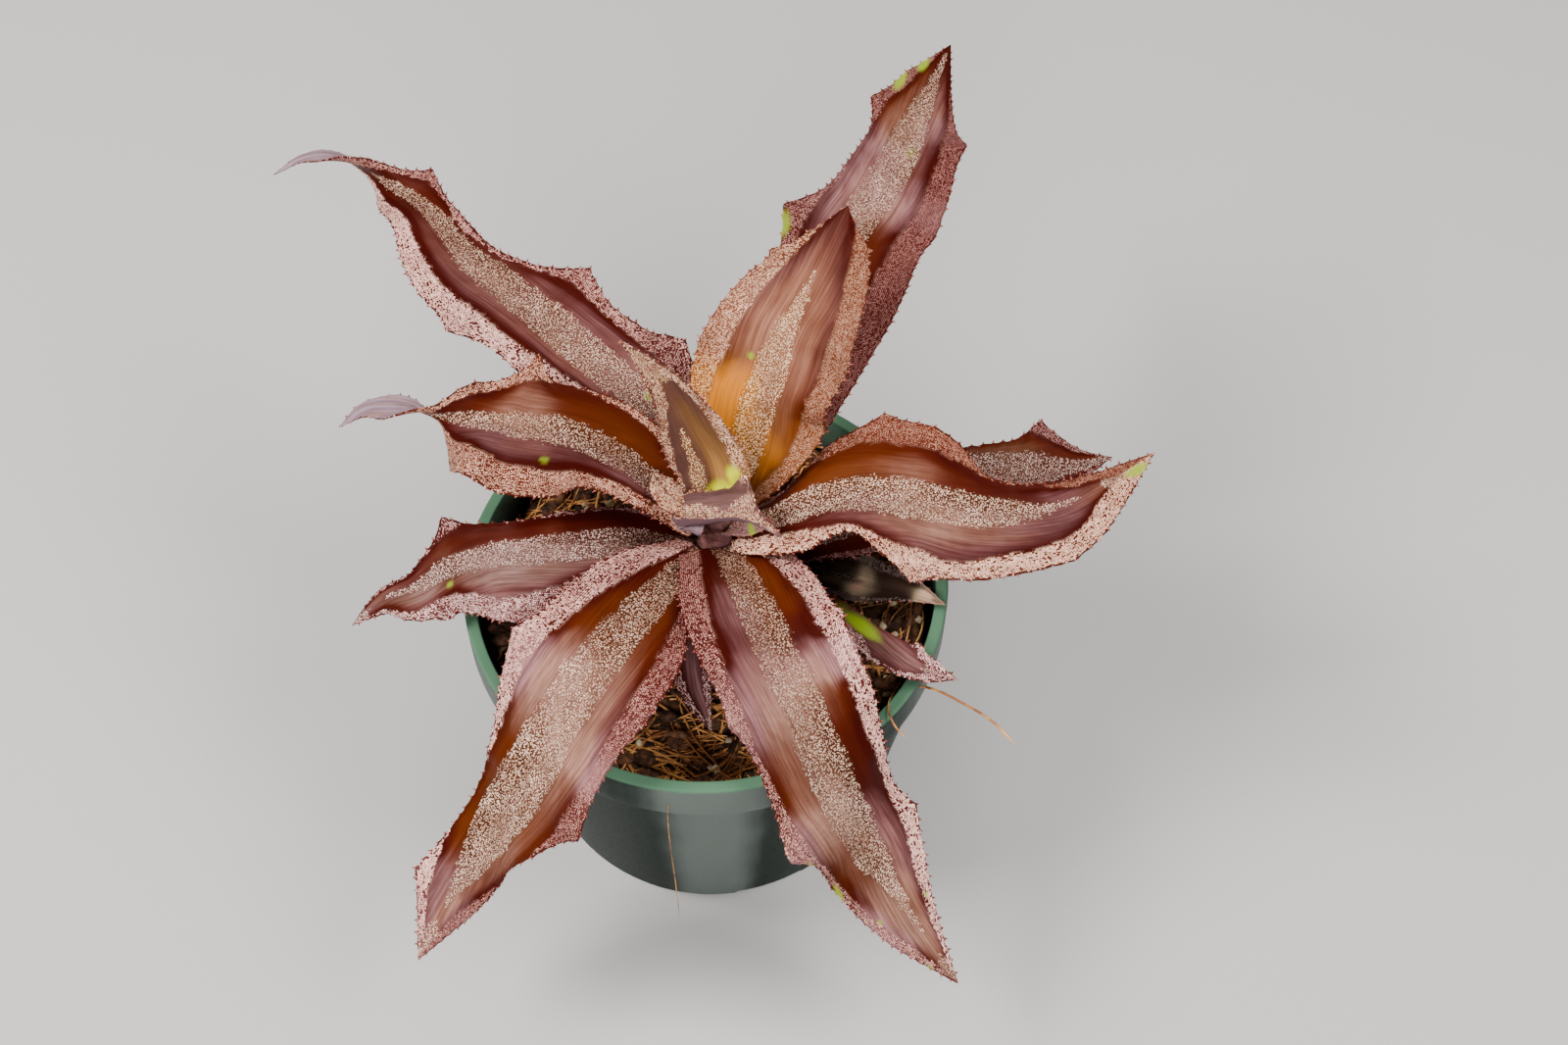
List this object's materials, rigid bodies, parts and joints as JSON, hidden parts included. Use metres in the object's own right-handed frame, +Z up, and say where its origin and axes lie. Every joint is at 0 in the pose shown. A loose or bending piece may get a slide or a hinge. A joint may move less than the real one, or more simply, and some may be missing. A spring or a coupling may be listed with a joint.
{
  "type": "potted menescal cryptanthus",
  "caption": "Small earth-star bromeliad with waved, saw-edged leaves spread flat from a short stem, in a round green nursery pot of bark and coir.",
  "frame": {"origin": "centre of the pot's flat underside", "axes": "+Z up along the pot's axis, -Y towards the front of the picture's view, +X to its right"},
  "size_m": [0.2163, 0.223, 0.143],
  "materials": {
    "leaf_banded": "glossy maroon to bronze bands between a pale grainy centre stripe and pale grainy margins, waxy underside",
    "leaf_young": "bronze-mauve inner face, lime at the base, pale grainy margins",
    "leaf_dry": "matt grey-brown, dried",
    "pot_plastic": "thin moulded plastic, satin, slightly lighter at the lip",
    "potting_mix": "rough dark bark with orange-brown coir straws and pale grains",
    "stem": "dull green-brown, ringed with leaf scars"
  },
  "bodies": {
    "root": {"leaf_back": "leaf_banded", "leaf_back_left": "leaf_banded", "leaf_back_right": "leaf_banded", "leaf_centre": "leaf_young", "leaf_centre_front": "leaf_young", "leaf_front_left": "leaf_banded", "leaf_front_right": "leaf_banded", "leaf_front_small": "leaf_banded", "leaf_left": "leaf_banded", "leaf_left_low": "leaf_banded", "leaf_right": "leaf_banded", "leaf_right_low": "leaf_banded", "leaf_right_old": "leaf_dry", "leaf_right_small": "leaf_banded", "pot": "pot_plastic", "soil": "potting_mix", "stem": "stem"}
  },
  "joints": []
}
